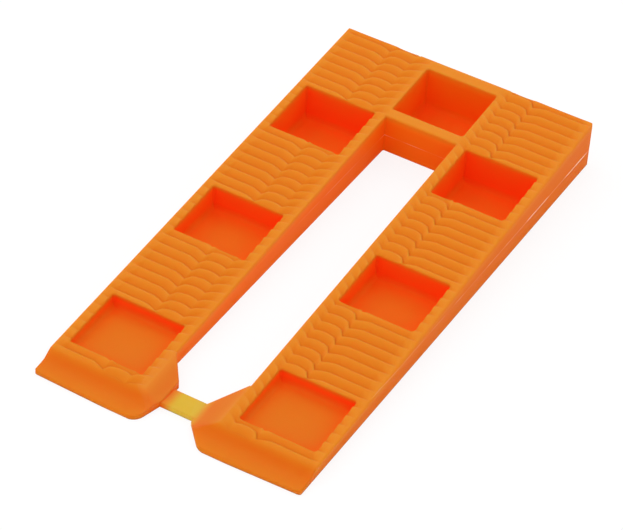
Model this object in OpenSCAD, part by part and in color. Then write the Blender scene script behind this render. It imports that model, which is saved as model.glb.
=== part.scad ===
// Horseshoe shim wedge, moulded in one piece.
// Two ribbed legs straddle a fixing, a bridge joins them at the thick heel, and a thin web
// ties the two noses. Pockets from above leave rims, lands and a thin floor.
// X runs across the legs, Y from the noses to the heel, Z up from the flat underside.

/* [Body] */
// Length from the nose tips to the heel
length = 90; // [86:1:110]
// Width across both legs
width = 45; // [42:1:56]
// Thickness at the heel
heel_h = 8; // [6:0.5:12]
// Height of the sloping face, carried on to the nose tips
toe_h = 1.7; // [1.5:0.1:2.2]
// Height of the parting line above the underside
parting_h = 3.15; // [2.5:0.05:4]
// Draft of the outer walls on each side of the parting line, degrees
draft = 2; // [0.5:0.5:3]
// Radius of the upright corners at the heel
heel_r = 1; // [0.6:0.1:2]
// Radius of the edges of the sloping face, along the slot and round the outside
edge_r = 0.25; // [0.15:0.05:0.5]

/* [Slot and mouth] */
// Width of the slot that straddles the fixing
slot_w = 12.6; // [8:0.2:14]
// Clear width of the mouth between the two noses
neck_w = 5.6; // [4.5:0.1:7]
// Place of the mouth and of the scales across the wedge, from its middle
mouth_x = -0.6; // [-1:0.1:1]
// Distance from the nose tips to the narrow part of the mouth, on its left
left_neck_y = 5.2; // [4.8:0.1:6.5]
// Distance from the nose tips to the narrow part of the mouth, on its right
right_neck_y = 3.9; // [3.6:0.1:5]
// Distance from the nose tips to where the mouth has opened to the full slot
flare_end_y = 13.3; // [12:0.1:15]
// Angle between the widening sides of the mouth and the slot, degrees
flare_angle = 37; // [32:1:42]
// Fall of the smooth faces that lead down to the mouth, degrees
gusset_angle = 19; // [16:1:22]

/* [Nose] */
// Thickness of the lip at the nose tips
lip_h = 0.57; // [0.45:0.01:0.7]
// Rise of the lip from its tip to the foot of the curved ramp
lip_rise = 0.27; // [0.1:0.01:0.35]
// Length of the lip
lip_l = 2.5; // [2:0.1:3]
// Length of the curved ramp from the lip up to the sloping face
ramp_l = 2.9; // [2.4:0.1:3.2]
// Radius of the nose tip on the left of the mouth
left_tip_r = 2; // [1.5:0.1:2.4]
// Radius of the nose tip on the right of the mouth
right_tip_r = 2.6; // [2:0.1:3]
// How far the rounded tips reach in from the sides of the slot
tip_reach = 2; // [1.5:0.1:2.5]
// Set-back of the outer corners behind the nose tips
sweep = 0.45; // [0.1:0.05:1]

/* [Tie web] */
// Thickness of the web between the noses
web_h = 0.85; // [0.6:0.05:0.9]
// Width of the web, along the slot
web_w = 3.5; // [2.5:0.1:3.8]
// Distance from the nose tips to the web
web_y = 4.65; // [4:0.05:5]

/* [Pockets] */
// Length of each pocket
pocket_l = 11.6; // [9:0.1:13]
// Distance from one pocket of a leg to the next
pocket_pitch = 27.7; // [26.5:0.1:28.2]
// Wall between a leg pocket and the outer face
outer_rim = 1.65; // [1.2:0.05:2.2]
// Wall between a leg pocket and the slot
inner_rim = 1.8; // [1.2:0.05:2.2]
// Wall between the bridge pocket and the heel
heel_rim = 2.4; // [1.6:0.1:3]
// Wall between the slot and the bridge pocket
bridge_rim = 1.95; // [1.4:0.05:2.5]
// Thickness of the pocket floors
floor_h = 0.75; // [0.6:0.05:0.9]
// Radius between the pocket floors and walls
floor_r = 0.9; // [0.4:0.1:1.1]
// Radius of the upright corners in the pockets and the slot
corner_r = 0.5; // [0.3:0.1:1]
// Draft of the pocket walls, degrees
pocket_draft = 1; // [0.5:0.5:2]

/* [Ribs] */
// Rib rows from one pocket to the next
rows_per_pitch = 14; // [12:1:16]
// Depth of the ribs
rib_depth = 0.32; // [0.2:0.02:0.5]
// Flat left along the top of each rib
rib_crest = 0.18; // [0.1:0.02:0.3]
// Length of the steep side of each rib, which faces the heel
rib_drop = 0.3; // [0.2:0.02:0.5]
// Distance over which the ribs flatten out towards the slot and the outer faces
rib_fade_l = 1.9; // [1.2:0.05:2.2]
// Distance from a pocket's heel side to the rib behind it
rib_start = 2.7; // [1:0.1:3]
// Share of a leg's width that the straight outer part of each rib takes
straight_part = 0.61; // [0.5:0.01:0.7]
// Share of a leg's width that the half scale beside the slot takes
slot_scale_part = 0.13; // [0.1:0.01:0.2]
// How far the full scales stand nearer the heel than the straight part
scale_lead = 0.72; // [0.4:0.02:1]
// How far the half scales stand nearer the heel than the straight part
slot_scale_lead = 1.56; // [1.2:0.02:1.9]
// How far the ribs bend towards the noses at the ends of a full scale
scale_bend = 0.36; // [0.2:0.02:0.7]

/* [Hidden] */

// How far the shapes that cut run past the faces that they cut
past = 2;
// How far each rib groove starts above the sloping face, so that it cuts cleanly
lift = 0.02;
// Shares of the ribs' depth that are left at the edges of a leg, and halfway to full depth
rib_end = 0.05;
rib_half = 0.4;
// Least distance across a leg from where a rib flattens out to its next bend
fade_gap = 0.2;
// Width of the steps between two scales
scale_step = 0.7;
// Straight pieces in each half of a full scale, and in each bend of the ribs beside it
scale_steps = 3;
bend_steps = 2;
// How long the outer bend is, as a share of the leg's width, and the inner bend, as a share of
// the outer; how steep both are, and how they gather towards the scale's end
bend_part = 0.13;
inner_bend = 0.65;
bend_slope = 0.35;
bend_power = 1.3;
// Straight pieces in each rounded corner, and in each side of the nose ramp
arc_steps = 6;
ramp_steps = 10;
// Straight pieces in each rounded edge, how far it turns, and how far its last piece runs on
edge_steps = 3;
edge_turn = 75;
edge_tail = 0.5;
// Rounding of the nose tips, seen from the side, and how far their foot stands back
tip_round = 0.3;
tip_foot = 0.04;
// Share of the width over which the noses' front edge runs straight across
straight_nose = 0.4;
// How far the trimmed upright corners stand inside the widest outline
trim_in = 0.05;

slope = (heel_h - toe_h) / length;
slope_angle = atan(slope);
leg_w = (width - slot_w) / 2;
pocket_w = leg_w - outer_rim - inner_rim;
bridge_y = length - heel_rim - pocket_l;
slot_end_y = bridge_y - bridge_rim;
rib_pitch = pocket_pitch / rows_per_pitch;
first_rib_y = slot_end_y - 2 * pocket_pitch + rib_start - ceil(rows_per_pitch / 2 + 2) * rib_pitch;
rib_rows = ceil((length - first_rib_y) / rib_pitch);
gusset_fall = slot_w / 2 * tan(gusset_angle);
block_h = heel_h + past;

// Height of the sloping face at a distance y from the nose tips
function top_z(y) = toe_h + slope * y;

// Height of the lip, which falls gently to its tip
function lip_z(y) = lip_h + lip_rise * y / lip_l;

// A curve that leaves 0 and reaches 1 without a corner
function ease(t) = t * t * (3 - 2 * t);

// Points along a round corner about [x, y], from one angle to another
function arc(x, y, r, from, to) = [for (i = [0:arc_steps])
    let (a = from + (to - from) * i / arc_steps) [x + r * cos(a), y + r * sin(a)]];

// Rounding of an edge of the sloping face at x, seen along the edge; dir points off the solid
function edge_curve(x, dir) = concat(
    [for (i = [0:edge_steps])
        let (a = edge_turn * i / edge_steps) [x - dir * edge_r * (1 - sin(a)), -edge_r * (1 - cos(a))]],
    [[x - dir * edge_r * (1 - sin(edge_turn)) + dir * edge_tail * cos(edge_turn),
      -edge_r * (1 - cos(edge_turn)) - edge_tail * sin(edge_turn)]]);

// Where the line from a point touches a round corner about [x, y], as an angle
function touch(point, x, y, r) = atan2(point.y - y, point.x - x) + acos(r / norm(point - [x, y]));

// How far a wall leans over a height h
function lean(h, angle) = h * tan(angle);

// Extrudes an outline drawn in Y and Z, centred across X
module across(w) {
    translate([-w / 2, 0, 0]) rotate([90, 0, 90]) linear_extrude(w) children();
}

// Extrudes an outline drawn in X and Z along Y
module along(y0, y1) {
    translate([0, y1, 0]) rotate([90, 0, 0]) linear_extrude(y1 - y0) children();
}

// Puts shapes on the sloping face, Y down its length and Z square to it
module on_slope() {
    translate([0, 0, toe_h]) rotate([slope_angle, 0, 0]) children();
}

// A shape of the right leg, put on the right (1) or, mirrored, on the left (-1)
module on_side(side) {
    if (side < 0) mirror([1, 0, 0]) children();
    else children();
}

// Both legs from one
module both_sides() {
    for (side = [-1, 1]) on_side(side) children();
}

// Side outline: flat underside, lip, S-shaped nose ramp, sloping face, drafted heel
module side_outline() {
    ramp = [for (i = [0:ramp_steps])
        let (t = i / ramp_steps, y = lip_l + ramp_l * t)
        [y, lip_z(y) + (top_z(y) - lip_z(y)) * ease(t)]];
    polygon(concat(
        [[tip_foot, 0], [0, lip_h / 2], [tip_round / 4, lip_h * 3 / 4], [tip_round, lip_z(tip_round)]],
        ramp,
        [[length - lean(heel_h - parting_h, draft), heel_h],
         [length, parting_h],
         [length - lean(parting_h, draft), 0]]));
}

// End outline: outer walls that lean in above and below the parting line
module end_outline() {
    half = width / 2;
    top = half - lean(block_h - parting_h, draft);
    foot = half - lean(parting_h, draft);
    polygon([[-foot, 0], [foot, 0], [half, parting_h],
             [top, block_h], [-top, block_h], [-half, parting_h]]);
}

// Trims an upright outer corner at [x, y] to radius r; dir_y is 1 at the heel and -1 at a nose
module corner_trim(x, y, r, dir_y) {
    translate([x - r, y - dir_y * r, -past]) difference() {
        translate([0, dir_y > 0 ? 0 : -r - past, 0]) cube([r + past, r + past, block_h + 2 * past]);
        translate([0, 0, -past]) cylinder(r = r, h = block_h + 4 * past, $fn = 48);
    }
}

// The solid wedge before its openings are cut
module blank() {
    difference() {
        intersection() {
            across(width + past) side_outline();
            along(-past, length + past) end_outline();
        }
        both_sides() {
            corner_trim(width / 2 - trim_in, length - trim_in, heel_r, 1);
            corner_trim(width / 2 - trim_in, sweep, corner_r, -1);
        }
        nose_sweep();
    }
}

// Sweeps the front edge back towards the outer corners
module nose_sweep() {
    straight = width * straight_nose / 2;
    out = width / 2 + past;
    translate([0, 0, -past]) linear_extrude(block_h)
        polygon([[-out, -past], [out, -past], [out, sweep + trim_in], [straight, 0],
                 [-straight, 0], [-out, sweep + trim_in]]);
}

// Plan of one half of the opening, from the nose tip through the neck to the bridge:
// neck is where its narrow part starts, and tip_r rounds the nose beside it
function opening_side(neck, tip_r, wide, back) =
    let (half = slot_w / 2,
         tip_x = half - tip_reach + tip_r,
         widening = tan(flare_angle))
    concat([[tip_x, -past]],
           arc(tip_x, tip_r, tip_r, 270, touch(neck, tip_x, tip_r, tip_r)),
           [neck,
            [neck.x, flare_end_y - (half - neck.x) / widening],
            [wide + past, flare_end_y + (wide + past - half) / widening],
            [wide + past, back - past]],
           arc(wide - corner_r, back - corner_r, corner_r, 0, 90));

// Slot and mouth: drafted slot walls, a wide flare, the neck and the rounded nose tips
module opening() {
    half = slot_w / 2;
    wide = half + lean(block_h - parting_h, pocket_draft);
    foot = half + lean(parting_h + past, pocket_draft);
    back = slot_end_y + lean(block_h - parting_h, pocket_draft);
    right = opening_side([neck_w / 2 + mouth_x, right_neck_y], right_tip_r, wide, back);
    mirrored = opening_side([neck_w / 2 - mouth_x, left_neck_y], left_tip_r, wide, back);
    left = [for (i = [len(mirrored) - 1:-1:0]) [-mirrored[i].x, mirrored[i].y]];
    intersection() {
        along(-2 * past, length) polygon([[-foot, -past], [foot, -past], [half, parting_h],
            [wide, block_h], [-wide, block_h], [-half, parting_h]]);
        across(width) polygon([[-2 * past, -past],
            [slot_end_y + lean(parting_h + past, pocket_draft), -past],
            [slot_end_y, parting_h], [back, block_h], [-2 * past, block_h]]);
        translate([0, 0, -2 * past]) linear_extrude(block_h + 4 * past) polygon(concat(right, left));
    }
}

// Smooth faces beside the mouth, which fall from the inner edges of the legs to its sides
module gusset_faces() {
    half = slot_w / 2;
    on_slope() along(-past, flare_end_y + past)
        polygon([[mouth_x, -gusset_fall],
                 [half + past * (half - mouth_x) / gusset_fall, past],
                 [-half - past * (half + mouth_x) / gusset_fall, past]]);
}

// What the rounding of an outer edge at x cuts away
function rounded_off(x) =
    let (curve = edge_curve(x, 1))
    concat([[x + past, past], [x - edge_r, past]], curve, [[x + past, curve[edge_steps + 1].y]]);

// What the rounding of the edges on both sides of an opening cuts away
function rounded_in(from, to) =
    let (far = edge_curve(to, -1))
    concat([[from - edge_r, past]], edge_curve(from, 1), [for (i = [len(far) - 1:-1:0]) far[i]],
           [[to + edge_r, past]]);

// Rounds the sloping face's outer edges, and its edges round the slot
module rounded_edges() {
    half = slot_w / 2;
    heel = length - lean(heel_h - parting_h, draft);
    both_sides() on_slope() rotate([0, 0, atan(slope * tan(draft))]) along(-past, length + 2 * past)
        polygon(rounded_off(width / 2));
    on_slope() across(width + past) polygon(rounded_off(heel / cos(slope_angle)));
    on_slope() intersection() {
        along(flare_end_y - past, slot_end_y + past) polygon(rounded_in(-half, half));
        across(slot_w + past)
            polygon(rounded_in(flare_end_y / cos(slope_angle), slot_end_y / cos(slope_angle)));
    }
}

// Thin web that ties the noses, flush with the underside
module tie_web() {
    w = neck_w + 2;
    translate([mouth_x - w / 2, web_y, 0]) cube([w, web_w, web_h]);
}

// Outline of a pocket seen from one side: drafted walls and a rounded floor
function cavity(middle, w, mouth_h) =
    let (half = w / 2 - lean(mouth_h - floor_h, pocket_draft),
         wide = half + lean(block_h - floor_h, pocket_draft),
         r_top = floor_h + floor_r,
         inner = half + lean(floor_r, pocket_draft) - floor_r)
    concat([[middle - wide, block_h]],
           arc(middle - inner, r_top, floor_r, 180, 270),
           arc(middle + inner, r_top, floor_r, 270, 360),
           [[middle + wide, block_h]]);

// Pocket open to the sloping face, with rounded upright corners
module pocket(x, y, w) {
    mid_y = y + pocket_l / 2;
    mouth_h = top_z(mid_y);
    out_x = w / 2 + lean(block_h - mouth_h, pocket_draft);
    out_y = pocket_l / 2 + lean(block_h - mouth_h, pocket_draft);
    r = corner_r + (out_x - w / 2) / (1 - cos(45));
    intersection() {
        along(y - past, y + pocket_l + past) polygon(cavity(x, w, mouth_h));
        translate([x, 0, 0]) across(w + 2 * past) polygon(cavity(mid_y, pocket_l, mouth_h));
        translate([x, mid_y, 0]) linear_extrude(block_h) polygon(concat(
            arc(out_x - r, out_y - r, r, 0, 90), arc(r - out_x, out_y - r, r, 90, 180),
            arc(r - out_x, r - out_y, r, 180, 270), arc(out_x - r, r - out_y, r, 270, 360)));
    }
}

// Three pockets in each leg and one in the bridge
module pockets() {
    leg_x = slot_w / 2 + inner_rim + pocket_w / 2;
    for (i = [0:2], side = [-1, 1])
        pocket(side * leg_x, slot_end_y - pocket_l - i * pocket_pitch, pocket_w);
    pocket(0, bridge_y, pocket_w);
}

// Bend of a rib into the end of a scale at x, as [x, shift along Y]; dir is the way across the
// leg from that end, and level the shift where the bend begins
function scale_end(x, dir, l, level) = [for (i = [0:bend_steps])
    let (t = 1 - i / bend_steps) [x + dir * l * (1 - t), level - bend_slope * l * pow(t, bend_power)]];

// How a rib runs across a leg, as [x, shift along Y]: a half scale beside the slot, a full
// scale, and the straight outer part, with a step towards the heel between them
function rib_scales() =
    let (x1 = slot_w / 2 + leg_w * slot_scale_part,
         x2 = slot_w / 2 + leg_w * (1 - straight_part),
         bend_l = leg_w * bend_part,
         inner = scale_end(x1 - scale_step / 2, -1, bend_l * inner_bend, slot_scale_lead))
    concat([for (i = [bend_steps:-1:0]) inner[i]],
           [for (i = [-scale_steps:scale_steps]) let (t = i / scale_steps)
               [(x1 + x2) / 2 + t * (x2 - x1 - scale_step) / 2, scale_lead - scale_bend * t * t]],
           scale_end(x2 + scale_step / 2, 1, bend_l, 0));

// Course of a rib on one leg, as [x, shift along Y, share of the depth]; it flattens at its ends
function rib_course(side) =
    let (scales = rib_scales(),
         inner = slot_w / 2,
         outer = width / 2,
         fade = [[inner, rib_end], [inner + rib_fade_l / 2, rib_half], [inner + rib_fade_l, 1],
                 [outer - rib_fade_l, 1], [outer - rib_fade_l / 2, rib_half], [outer, rib_end]],
         between = [for (s = scales) let (x = s.x + side * mouth_x)
             if (x > inner + rib_fade_l + fade_gap && x < outer - rib_fade_l - fade_gap) x])
    [for (x = concat([for (i = [0:2]) fade[i].x], between, [for (i = [3:5]) fade[i].x]))
        [x, lookup(x - side * mouth_x, scales), lookup(x, fade)]];

// Groove between two ribs: steep on the nose side, a long ramp up to the next rib
module rib_groove(side, y) {
    ramp = rib_pitch - rib_crest - rib_drop;
    section = [[-lift * rib_drop / rib_depth, lift],
               [rib_drop, -rib_depth],
               [rib_drop + ramp * (1 + lift / rib_depth), lift]];
    course = rib_course(side);
    n = len(section);
    last = len(course) - 1;
    polyhedron(
        points = [for (c = course, p = section) [c.x, y + c.y + p.x, p.y < 0 ? p.y * c.z : p.y]],
        faces = concat(
            [[for (j = [0:n - 1]) j]],
            [for (i = [0:last - 1], j = [0:n - 1])
                let (k = (j + 1) % n, a = i * n + j, b = i * n + k)
                each [[b, a, a + n], [b, a + n, b + n]]],
            [[for (j = [n - 1:-1:0]) last * n + j]]),
        convexity = 4);
}

// All the grooves of both legs
module rib_grooves() {
    for (side = [-1, 1], row = [0:rib_rows])
        on_side(side) on_slope()
            rib_groove(side, (first_rib_y + row * rib_pitch) / cos(slope_angle));
}

module shim_wedge() {
    color("darkorange") difference() {
        union() {
            difference() {
                blank();
                opening();
                gusset_faces();
                rounded_edges();
            }
            tie_web();
        }
        pockets();
        rib_grooves();
    }
}

translate([0, -length / 2, 0]) shim_wedge();
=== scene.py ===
import math

import bpy
from mathutils import Matrix, Vector

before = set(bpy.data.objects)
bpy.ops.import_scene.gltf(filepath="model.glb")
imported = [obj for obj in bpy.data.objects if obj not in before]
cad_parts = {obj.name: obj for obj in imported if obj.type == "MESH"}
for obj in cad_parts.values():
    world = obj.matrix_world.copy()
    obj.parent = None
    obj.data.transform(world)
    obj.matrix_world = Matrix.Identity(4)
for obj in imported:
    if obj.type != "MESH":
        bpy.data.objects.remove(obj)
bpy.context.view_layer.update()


# The wedge: one injection moulding, two ribbed legs joined by a bridge at the thick heel.
# Polypropylene with an orange masterbatch, satin from a spark-eroded mould, thin enough that
# light goes some way in, so edges glow yellow and the deep pockets turn red. That yellow glow
# and that red are painted into its colour below.

MM = 0.001


def srgb(code):
    """Linear colour of an sRGB hex value, such as e88220."""
    levels = [int(code[i:i + 2], 16) / 255 for i in (0, 2, 4)]
    return [v / 12.92 if v <= 0.04045 else ((v + 0.055) / 1.055) ** 2.4 for v in levels] + [1]


def add(tree, kind, settings=None, links=None):
    """Adds a shader node with its settings, and links its inputs from other nodes' outputs."""
    node = tree.nodes.new(kind)
    for name, value in (settings or {}).items():
        if isinstance(name, int) or name in node.inputs:
            node.inputs[name].default_value = value
        else:
            setattr(node, name, value)
    for name, (source, output) in (links or {}).items():
        tree.links.new(source.outputs[output], node.inputs[name])
    return node


moulded = bpy.data.materials.new("moulded_orange_polypropylene")
moulded.use_nodes = True
tree = moulded.node_tree
tree.nodes.clear()

# Lengths and places on the moulding are in millimetres: X across the two legs and Y from the
# noses to the heel, both from the wedge's middle, and heights from its underside
place = add(tree, "ShaderNodeNewGeometry")
axes = add(tree, "ShaderNodeSeparateXYZ", links={"Vector": (place, "Position")})
facing = add(tree, "ShaderNodeSeparateXYZ", links={"Vector": (place, "True Normal")})
sideways = add(tree, "ShaderNodeMath", {"operation": "ABSOLUTE"}, {0: (axes, "X")})

# Painted shade: the colour is painted darker and redder with depth below the face that slopes up
# to the heel, so crests look yellower than the troughs
NOSE_Y, TOE_H = -45, 1.7
SLOPE = 0.07
DARKEST_DEPTH = 1.5
run = add(tree, "ShaderNodeMath",
          {"operation": "MULTIPLY_ADD", 1: SLOPE, 2: (TOE_H - NOSE_Y * SLOPE) * MM}, {0: (axes, "Y")})
under = add(tree, "ShaderNodeMath", {"operation": "SUBTRACT"}, {0: (run, 0), 1: (axes, "Z")})
depth = add(tree, "ShaderNodeMath", {"operation": "MULTIPLY", 1: 1 / MM}, {0: (under, 0)})
shade = add(tree, "ShaderNodeMapRange", {"From Max": DARKEST_DEPTH}, {"Value": (depth, 0)})
depth_shaded_colour = add(tree, "ShaderNodeValToRGB", links={"Fac": (shade, 0)})
ramp = depth_shaded_colour.color_ramp
ramp.elements[0].position, ramp.elements[0].color = 0.0, srgb("e58924")
ramp.elements[1].position, ramp.elements[1].color = 1.0, srgb("e26a08")
for position, code in ((0.1, "e47f1a"), (0.25, "e27813")):
    stop = ramp.elements.new(position)
    stop.color = srgb(code)

# Painted light: thin rims, lips and edges pass more light, so they are painted yellower too
THIN_WALL = 1.6
inward = add(tree, "ShaderNodeAmbientOcclusion",
             {"samples": 6, "inside": True, "only_local": True, "Distance": THIN_WALL * MM})
thin = add(tree, "ShaderNodeMapRange", {"From Min": 0.8, "From Max": 0.2, "To Max": 0.25},
           {"Value": (inward, "AO")})
glowing = add(tree, "ShaderNodeMix", {"data_type": "RGBA", 7: srgb("eaa436")},
              {0: (thin, 0), 6: (depth_shaded_colour, 0)})

# Painted shade: the lip's glow dies out at the foot of the nose ramp, about 3 mm behind the tips,
# so a band there is painted redder
NOSE_FADE_L = 6
nose_run = add(tree, "ShaderNodeMapRange",
               {"From Min": NOSE_Y * MM, "From Max": (NOSE_Y + NOSE_FADE_L) * MM}, {"Value": (axes, "Y")})
nose_shade = add(tree, "ShaderNodeValToRGB", links={"Fac": (nose_run, 0)})
ramp = nose_shade.color_ramp
ramp.elements[0].position, ramp.elements[0].color = 0.0, (0, 0, 0, 1)
ramp.elements[1].position, ramp.elements[1].color = 0.8, (0, 0, 0, 1)
for position in (0.48, 0.6):
    stop = ramp.elements.new(position)
    stop.color = (0.32, 0.32, 0.32, 1)
nose = add(tree, "ShaderNodeMix", {"data_type": "RGBA", 7: srgb("e65208")},
           {0: (nose_shade, 0), 6: (glowing, 2)})

# Painted shade: the depths of the pockets and the slot are painted redder, as the light that
# reaches them has passed through plastic
POCKET_REACH = 9
CREST_DEPTH, INSIDE_DEPTH = 0.1, 1.0
outward = add(tree, "ShaderNodeAmbientOcclusion",
              {"samples": 6, "only_local": True, "Distance": POCKET_REACH * MM})
hidden = add(tree, "ShaderNodeMapRange", {"From Min": 1.0, "From Max": 0.45, "To Max": 0.95},
             {"Value": (outward, "AO")})
below = add(tree, "ShaderNodeMapRange", {"From Min": CREST_DEPTH, "From Max": INSIDE_DEPTH},
            {"Value": (depth, 0)})
enclosed = add(tree, "ShaderNodeMath", {"operation": "MULTIPLY"}, {0: (hidden, 0), 1: (below, 0)})

# The painted shade is lighter on the thin side walls of each leg's pockets, and on all walls of
# the bridge's, which let in more light and stay less red. The side of the slot lies 6.3 mm from the middle
LEG_X = 14.6
FLOOR_HALF_W, WALL_HALF_W = 3, 5.8
SLOT_SIDE_X = 6.5
off_leg = add(tree, "ShaderNodeMath", {"operation": "SUBTRACT", 1: LEG_X * MM}, {0: (sideways, 0)})
off_middle = add(tree, "ShaderNodeMath", {"operation": "ABSOLUTE"}, {0: (off_leg, 0)})
side_redness = add(tree, "ShaderNodeMapRange",
                   {"From Min": FLOOR_HALF_W * MM, "From Max": WALL_HALF_W * MM,
                    "To Min": 1.0, "To Max": 0.75},
                   {"Value": (off_middle, 0)})
between_legs = add(tree, "ShaderNodeMath", {"operation": "LESS_THAN", 1: SLOT_SIDE_X * MM},
                   {0: (sideways, 0)})
upright = add(tree, "ShaderNodeMapRange", {"From Min": 0.7, "From Max": 0.3, "To Max": 0.5},
              {"Value": (facing, "Z")})
bridge_wall = add(tree, "ShaderNodeMath", {"operation": "MULTIPLY"},
                  {0: (between_legs, 0), 1: (upright, 0)})
redness = add(tree, "ShaderNodeMath", {"operation": "SUBTRACT"},
              {0: (side_redness, 0), 1: (bridge_wall, 0)})

# The back walls of the legs' pockets have a full land behind them, and get the reddest painted shade
turned_forward = add(tree, "ShaderNodeMapRange", {"From Min": -0.3, "From Max": -0.7, "To Max": 0.6},
                     {"Value": (facing, "Y")})
on_leg = add(tree, "ShaderNodeMath", {"operation": "GREATER_THAN", 1: SLOT_SIDE_X * MM}, {0: (sideways, 0)})
back_wall = add(tree, "ShaderNodeMath", {"operation": "MULTIPLY"}, {0: (turned_forward, 0), 1: (on_leg, 0)})
full_redness = add(tree, "ShaderNodeMath", {"operation": "ADD"}, {0: (redness, 0), 1: (back_wall, 0)})
deep = add(tree, "ShaderNodeMath", {"operation": "MULTIPLY"}, {0: (enclosed, 0), 1: (full_redness, 0)})
shade_reddened = add(tree, "ShaderNodeMix", {"data_type": "RGBA", 7: srgb("f0480c")},
               {0: (deep, 0), 6: (nose, 2)})

# The web between the noses is so thin that its pigment looks straw yellow: partly its own thin
# layer of colour, partly painted light that shines through it. That fades sideways where the web
# runs into the noses
WEB_X, WEB_Y = 0.1, -38.6
WEB_FULL, WEB_GONE = 1.4, 3.4
WEB_REACH_Y = 3
from_web = add(tree, "ShaderNodeMath", {"operation": "SUBTRACT", 1: WEB_X * MM}, {0: (axes, "X")})
along = add(tree, "ShaderNodeMath", {"operation": "ABSOLUTE"}, {0: (from_web, 0)})
web_x = add(tree, "ShaderNodeMapRange",
            {"interpolation_type": "SMOOTHSTEP", "From Min": WEB_GONE * MM, "From Max": WEB_FULL * MM},
            {"Value": (along, 0)})
web_y = add(tree, "ShaderNodeMath", {"operation": "COMPARE", 1: WEB_Y * MM, 2: WEB_REACH_Y * MM},
            {0: (axes, "Y")})
on_web = add(tree, "ShaderNodeMath", {"operation": "MULTIPLY"}, {0: (web_x, 0), 1: (web_y, 0)})
webbed = add(tree, "ShaderNodeMix", {"data_type": "RGBA", 7: srgb("ddb53c")},
             {0: (on_web, 0), 6: (shade_reddened, 2)})

# The two mould halves meet halfway up the outer faces and the slot. A painted glint marks the seam:
# a fine, broken, whitish line, clearest towards the heel and faint in the slot. The outer faces lie
# 22.5 mm to the sides, and the heel's 45 mm back
PARTING_H, LINE_HALF_H = 3.15, 0.09
OUTER_X, HEEL_Y = 22.3, 44.8
SLOT_MIDDLE_Y, SLOT_HALF_L = -1.2, 30.5
BREAK_L = 5
FAINTEST_Y, CLEAREST_Y = -5, 25
seam = add(tree, "ShaderNodeMath", {"operation": "COMPARE", 1: PARTING_H * MM, 2: LINE_HALF_H * MM},
           {0: (axes, "Z")})
outside = add(tree, "ShaderNodeMath", {"operation": "GREATER_THAN", 1: OUTER_X * MM}, {0: (sideways, 0)})
heel = add(tree, "ShaderNodeMath", {"operation": "GREATER_THAN", 1: HEEL_Y * MM}, {0: (axes, "Y")})
slot_long = add(tree, "ShaderNodeMath",
                {"operation": "COMPARE", 1: SLOT_MIDDLE_Y * MM, 2: SLOT_HALF_L * MM}, {0: (axes, "Y")})
in_slot = add(tree, "ShaderNodeMath", {"operation": "MULTIPLY"}, {0: (between_legs, 0), 1: (slot_long, 0)})
slot_line = add(tree, "ShaderNodeMath", {"operation": "MULTIPLY", 1: 0.2}, {0: (in_slot, 0)})
walls = add(tree, "ShaderNodeMath", {"operation": "MAXIMUM"}, {0: (outside, 0), 1: (slot_line, 0)})
seamed = add(tree, "ShaderNodeMath", {"operation": "MAXIMUM"}, {0: (walls, 0), 1: (heel, 0)})
line = add(tree, "ShaderNodeMath", {"operation": "MULTIPLY"}, {0: (seam, 0), 1: (seamed, 0)})
breaks = add(tree, "ShaderNodeTexNoise", {"Scale": 1 / (BREAK_L * MM), "Detail": 1},
             {"Vector": (place, "Position")})
shown_part = add(tree, "ShaderNodeMapRange",
                 {"From Min": 0.42, "From Max": 0.58, "To Min": 0.15, "To Max": 1.0},
                 {"Value": (breaks, 0)})
to_heel = add(tree, "ShaderNodeMapRange",
              {"From Min": FAINTEST_Y * MM, "From Max": CLEAREST_Y * MM, "To Min": 0.1},
              {"Value": (axes, "Y")})
clear = add(tree, "ShaderNodeMath", {"operation": "MULTIPLY"}, {0: (shown_part, 0), 1: (to_heel, 0)})
# Painted glint: where the whitish line along the parting shows
parting_glint = add(tree, "ShaderNodeMath", {"operation": "MULTIPLY"}, {0: (line, 0), 1: (clear, 0)})
colour = add(tree, "ShaderNodeMix", {"data_type": "RGBA", 7: srgb("ffe0c8")},
             {0: (parting_glint, 0), 6: (webbed, 2)})

# The flow of the melt leaves the satin slightly uneven. The enclosed places are duller
FLOW_L = 6
flow = add(tree, "ShaderNodeTexNoise", {"Scale": 1 / (FLOW_L * MM), "Detail": 1},
           {"Vector": (place, "Position")})
satin = add(tree, "ShaderNodeMapRange", {"To Min": 0.5, "To Max": 0.64}, {"Value": (flow, 0)})
dulled = add(tree, "ShaderNodeMix", {"data_type": "FLOAT", 3: 0.9}, {0: (enclosed, 0), 2: (satin, 0)})

# The two gussets, which lead down to the mouth, are smoother and shine a little. They lie
# deepest below the sloping face at the mouth's middle, and less deep to either side
MOUTH_X = -0.6
GUSSET_DEPTH, GUSSET_FALL = 2.17, 0.347
GUSSET_NEAR = 0.3
GUSSET_END_Y = -31.6
from_mouth = add(tree, "ShaderNodeMath", {"operation": "SUBTRACT", 1: MOUTH_X * MM}, {0: (axes, "X")})
across = add(tree, "ShaderNodeMath", {"operation": "ABSOLUTE"}, {0: (from_mouth, 0)})
fall = add(tree, "ShaderNodeMath",
           {"operation": "MULTIPLY_ADD", 1: -GUSSET_FALL / MM, 2: GUSSET_DEPTH}, {0: (across, 0)})
on_fall = add(tree, "ShaderNodeMath", {"operation": "COMPARE", 2: GUSSET_NEAR},
              {0: (depth, 0), 1: (fall, 0)})
ahead = add(tree, "ShaderNodeMath", {"operation": "LESS_THAN", 1: GUSSET_END_Y * MM}, {0: (axes, "Y")})
gusset = add(tree, "ShaderNodeMath", {"operation": "MULTIPLY"}, {0: (on_fall, 0), 1: (ahead, 0)})
gloss = add(tree, "ShaderNodeMix", {"data_type": "FLOAT", 3: 0.34}, {0: (gusset, 0), 2: (dulled, 0)})
polish = add(tree, "ShaderNodeMath", {"operation": "MULTIPLY", 1: 0.12}, {0: (gusset, 0)})

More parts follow.
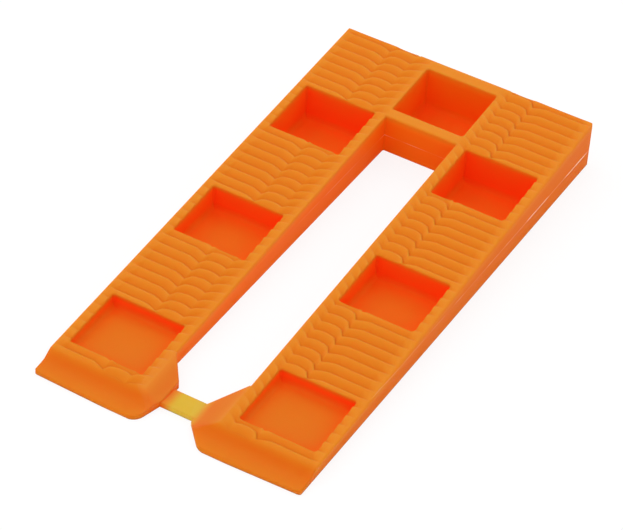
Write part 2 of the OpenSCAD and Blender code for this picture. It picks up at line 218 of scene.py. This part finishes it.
# A faint red glow stands in for the light that comes through the plastic into the pockets and
# the slot, and most of all through the thin heel wall into the bridge's pocket
POCKET_GLOW, SLOT_GLOW, BRIDGE_GLOW = 0.13, 0.12, 0.17
pocket_lit = add(tree, "ShaderNodeMapRange", {"From Min": 0.3, "From Max": 0.8, "To Max": POCKET_GLOW},
                 {"Value": (enclosed, 0)})
slot_wall = add(tree, "ShaderNodeMath", {"operation": "MULTIPLY"}, {0: (in_slot, 0), 1: (below, 0)})
slot_lit = add(tree, "ShaderNodeMath", {"operation": "MULTIPLY", 1: SLOT_GLOW}, {0: (slot_wall, 0)})
bridge_deep = add(tree, "ShaderNodeMath", {"operation": "MULTIPLY"},
                  {0: (between_legs, 0), 1: (enclosed, 0)})
bridge_lit = add(tree, "ShaderNodeMath", {"operation": "MULTIPLY", 1: BRIDGE_GLOW}, {0: (bridge_deep, 0)})
middle_lit = add(tree, "ShaderNodeMath", {"operation": "MAXIMUM"}, {0: (slot_lit, 0), 1: (bridge_lit, 0)})
passed = add(tree, "ShaderNodeMath", {"operation": "MAXIMUM"}, {0: (pocket_lit, 0), 1: (middle_lit, 0)})

# The fine grain of the spark-eroded mould. The edges are drawn softer than the solid's own
# 0.25 mm, as light inside the plastic makes them look
GRAIN_W, GRAIN_H = 0.25, 0.02
SOFT_EDGE_R = 0.5
grain = add(tree, "ShaderNodeTexNoise", {"Scale": 1 / (GRAIN_W * MM), "Detail": 2, "Roughness": 0.6},
            {"Vector": (place, "Position")})
edges = add(tree, "ShaderNodeBevel", {"samples": 4, "Radius": SOFT_EDGE_R * MM})
relief = add(tree, "ShaderNodeBump", {"Strength": 0.25, "Distance": GRAIN_H * MM},
             {"Height": (grain, 0), "Normal": (edges, 0)})

# Polypropylene's IOR. The sheen is set weaker and warmer than a bare surface's, to match the
# real one, and red light goes deepest into the plastic, about 1 mm
PASSED_L = 1.0
plastic = add(tree, "ShaderNodeBsdfPrincipled",
              {"IOR": 1.49, "Specular IOR Level": 0.15, "Specular Tint": srgb("ffc88c"),
               "Coat Roughness": 0.3, "Emission Color": srgb("ff3a04"), "Subsurface Weight": 0.5,
               "Subsurface Radius": (1.0, 0.35, 0.08), "Subsurface Scale": PASSED_L * MM},
              {"Base Color": (colour, 2), "Roughness": (gloss, 0), "Coat Weight": (polish, 0),
               "Emission Strength": (passed, 0), "Normal": (relief, 0)})
add(tree, "ShaderNodeOutputMaterial", links={"Surface": (plastic, 0)})

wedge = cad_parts["shim_wedge"]
wedge.data.materials.clear()
wedge.data.materials.append(moulded)


# The table top: plain white matt board, so large that its edges stay out of view.
# It keeps the wedge's shadow. To the camera it is a grey board that glows, which adds up to
# white, and the wedge gets the light of plain white board from it.

TABLE_HALF_W_M = 1.5
TABLE_GLOW = 0.84
corners = [(-TABLE_HALF_W_M, -TABLE_HALF_W_M, 0), (TABLE_HALF_W_M, -TABLE_HALF_W_M, 0),
           (TABLE_HALF_W_M, TABLE_HALF_W_M, 0), (-TABLE_HALF_W_M, TABLE_HALF_W_M, 0)]
table_mesh = bpy.data.meshes.new("table_top")
table_mesh.from_pydata(corners, [], [(0, 1, 2, 3)])
table = bpy.data.objects.new("table_top", table_mesh)
bpy.context.scene.collection.objects.link(table)

white = bpy.data.materials.new("white_table")
white.use_nodes = True
paper = white.node_tree.nodes["Principled BSDF"]
paper.inputs["Roughness"].default_value = 0.9
paper.inputs["Emission Color"].default_value = (1, 1, 1, 1)
to_camera = add(white.node_tree, "ShaderNodeLightPath")
glow = add(white.node_tree, "ShaderNodeMath", {"operation": "MULTIPLY", 1: TABLE_GLOW},
           {0: (to_camera, "Is Camera Ray")})
fill = add(white.node_tree, "ShaderNodeMix", {"data_type": "RGBA", 6: srgb("fafafa"), 7: srgb("6c6c6c")},
           {0: (to_camera, "Is Camera Ray")})
white.node_tree.links.new(glow.outputs[0], paper.inputs["Emission Strength"])
white.node_tree.links.new(fill.outputs[2], paper.inputs["Base Color"])
table_mesh.materials.append(white)


# Soft studio light: a white tent whose walls are brighter than its roof, and two lamps.
# The large lamp above the noses' left gives the ribs their slight relief, and the small one
# behind the heel gives the faces beside the mouth their sheen.

WALL_LIGHT, ROOF_LIGHT = 1.32, 0.485
world = bpy.data.worlds.new("white_tent")
bpy.context.scene.world = world
world.use_nodes = True
tent = world.node_tree
tent.nodes.clear()
toward = add(tent, "ShaderNodeTexCoord")
height = add(tent, "ShaderNodeSeparateXYZ", links={"Vector": (toward, "Generated")})
walls_up = add(tent, "ShaderNodeMapRange", {"To Min": WALL_LIGHT, "To Max": ROOF_LIGHT},
               {"Value": (height, "Z")})
lit = add(tent, "ShaderNodeBackground", {"Color": (1, 1, 1, 1)}, {"Strength": (walls_up, 0)})

# The camera, reflections and clear things see it as even white
shown = add(tent, "ShaderNodeBackground", {"Color": (1, 1, 1, 1), "Strength": 1.0})
ray = add(tent, "ShaderNodeLightPath")
mirrored = add(tent, "ShaderNodeMath", {"operation": "MAXIMUM"},
               {0: (ray, "Is Glossy Ray"), 1: (ray, "Is Transmission Ray")})
seen = add(tent, "ShaderNodeMath", {"operation": "MAXIMUM"}, {0: (ray, "Is Camera Ray"), 1: (mirrored, 0)})
mixed = add(tent, "ShaderNodeMixShader", links={0: (seen, 0), 1: (lit, 0), 2: (shown, 0)})
add(tent, "ShaderNodeOutputWorld", links={"Surface": (mixed, 0)})


def soft_lamp(name, place_m, size_m, watts):
    """A square area lamp at a place, turned to the wedge."""
    light = bpy.data.lights.new(name, "AREA")
    light.size = size_m
    light.energy = watts
    lamp = bpy.data.objects.new(name, light)
    lamp.location = place_m
    lamp.rotation_euler = (-Vector(place_m)).to_track_quat("-Z", "Y").to_euler()
    bpy.context.scene.collection.objects.link(lamp)


soft_lamp("key_lamp", (-0.35, -0.1, 0.75), 0.9, 2.0)
soft_lamp("back_lamp", (0.1, 0.54, 0.6), 0.35, 0.8)


# The camera stands above the right nose, 45 cm away, and is rolled by four degrees.
# Its place comes from the wedge's edges and pockets in the photograph, and its aim is given
# from the middle of the noses' tips.

PHOTO_W = 623
FOCAL_PX = 2949.42
AZIMUTH, ELEVATION, ROLL = map(math.radians, (28.2198, 40.6242, 3.871))
DISTANCE = 446.826 * MM
AIM = Vector((-1.4355 * MM, (NOSE_Y + 43.5711) * MM, 0))

lens = bpy.data.cameras.new("camera")
lens.sensor_width = 36
lens.lens = FOCAL_PX * lens.sensor_width / PHOTO_W
lens.clip_start, lens.clip_end = 0.01, 10
camera = bpy.data.objects.new("camera", lens)
back = Vector((math.sin(AZIMUTH) * math.cos(ELEVATION), -math.cos(AZIMUTH) * math.cos(ELEVATION),
               math.sin(ELEVATION)))
level = Vector((0, 0, 1)).cross(back).normalized()
upward = back.cross(level)
right = level * math.cos(ROLL) + upward * math.sin(ROLL)
up = upward * math.cos(ROLL) - level * math.sin(ROLL)
turn = Matrix((right, up, back)).transposed().to_4x4()
camera.matrix_world = Matrix.Translation(AIM + back * DISTANCE) @ turn
bpy.context.scene.collection.objects.link(camera)
bpy.context.scene.camera = camera
bpy.context.scene.view_settings.view_transform = "Standard"
